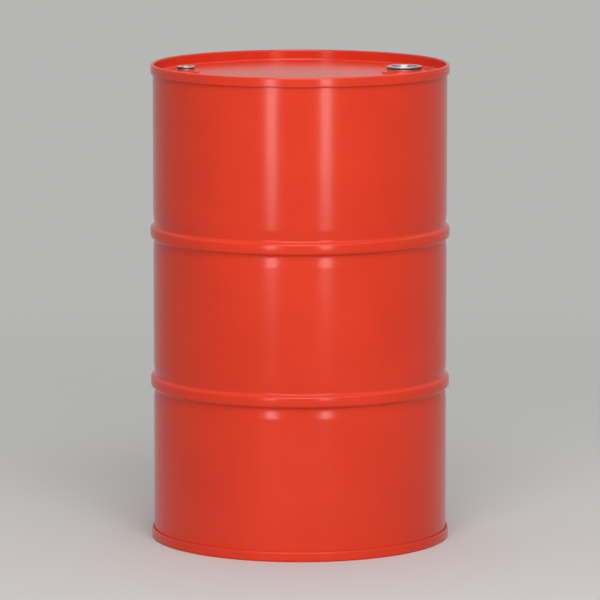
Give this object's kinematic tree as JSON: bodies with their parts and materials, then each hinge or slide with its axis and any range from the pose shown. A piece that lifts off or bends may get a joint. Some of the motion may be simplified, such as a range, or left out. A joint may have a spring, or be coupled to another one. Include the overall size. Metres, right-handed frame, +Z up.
{
  "type": "tight-head steel drum",
  "caption": "Upright cylindrical steel drum with rolled seams, swaged rolling hoops, recessed heads and threaded bung plugs, for holding liquids and hazardous waste.",
  "frame": {"origin": "centre of the ring that the drum stands on", "axes": "+Z up along the drum's axis, +X from the axis to the large bung"},
  "size_m": [0.5856, 0.5856, 0.932],
  "materials": {
    "red_enamel": "gloss enamel on steel sheet",
    "zinc_steel": "bright zinc plate",
    "gasket_rubber": "matt moulded rubber",
    "seam_compound": "dull cured compound"
  },
  "bodies": {
    "drum": {"body_shell": "red_enamel", "top_head": "red_enamel", "bottom_head": "red_enamel", "top_seam_compound": "seam_compound", "bottom_seam_compound": "seam_compound", "large_flange": "zinc_steel", "large_flange_gasket": "gasket_rubber", "small_flange": "zinc_steel", "small_flange_gasket": "gasket_rubber"},
    "large_plug_gasket_ring": {"large_plug_gasket": "gasket_rubber"},
    "large_plug_cup": {"large_plug": "zinc_steel"},
    "small_plug_gasket_ring": {"small_plug_gasket": "gasket_rubber"},
    "small_plug_cup": {"small_plug": "zinc_steel"}
  },
  "joints": [
    {"name": "large_plug_lift", "type": "slide", "parent": "drum", "child": "large_plug_gasket_ring", "axis": [0, 0, 1], "range_m": [0, 0.02771]},
    {"name": "large_plug_turn", "type": "hinge", "parent": "large_plug_gasket_ring", "child": "large_plug_cup", "pos_m": [0.203, 0, 0.9267], "axis": [0, 0, 1], "range_deg": [0, 4320]},
    {"name": "small_plug_lift", "type": "slide", "parent": "drum", "child": "small_plug_gasket_ring", "axis": [0, 0, 1], "range_m": [0, 0.02177]},
    {"name": "small_plug_turn", "type": "hinge", "parent": "small_plug_gasket_ring", "child": "small_plug_cup", "pos_m": [-0.222, 0, 0.9267], "axis": [0, 0, 1], "range_deg": [0, 4320]}
  ],
  "couplings": [
    {"joint": "large_plug_lift", "follows": "large_plug_turn", "m_per_rad": 0.00036749},
    {"joint": "small_plug_lift", "follows": "small_plug_turn", "m_per_rad": 0.00028873}
  ]
}
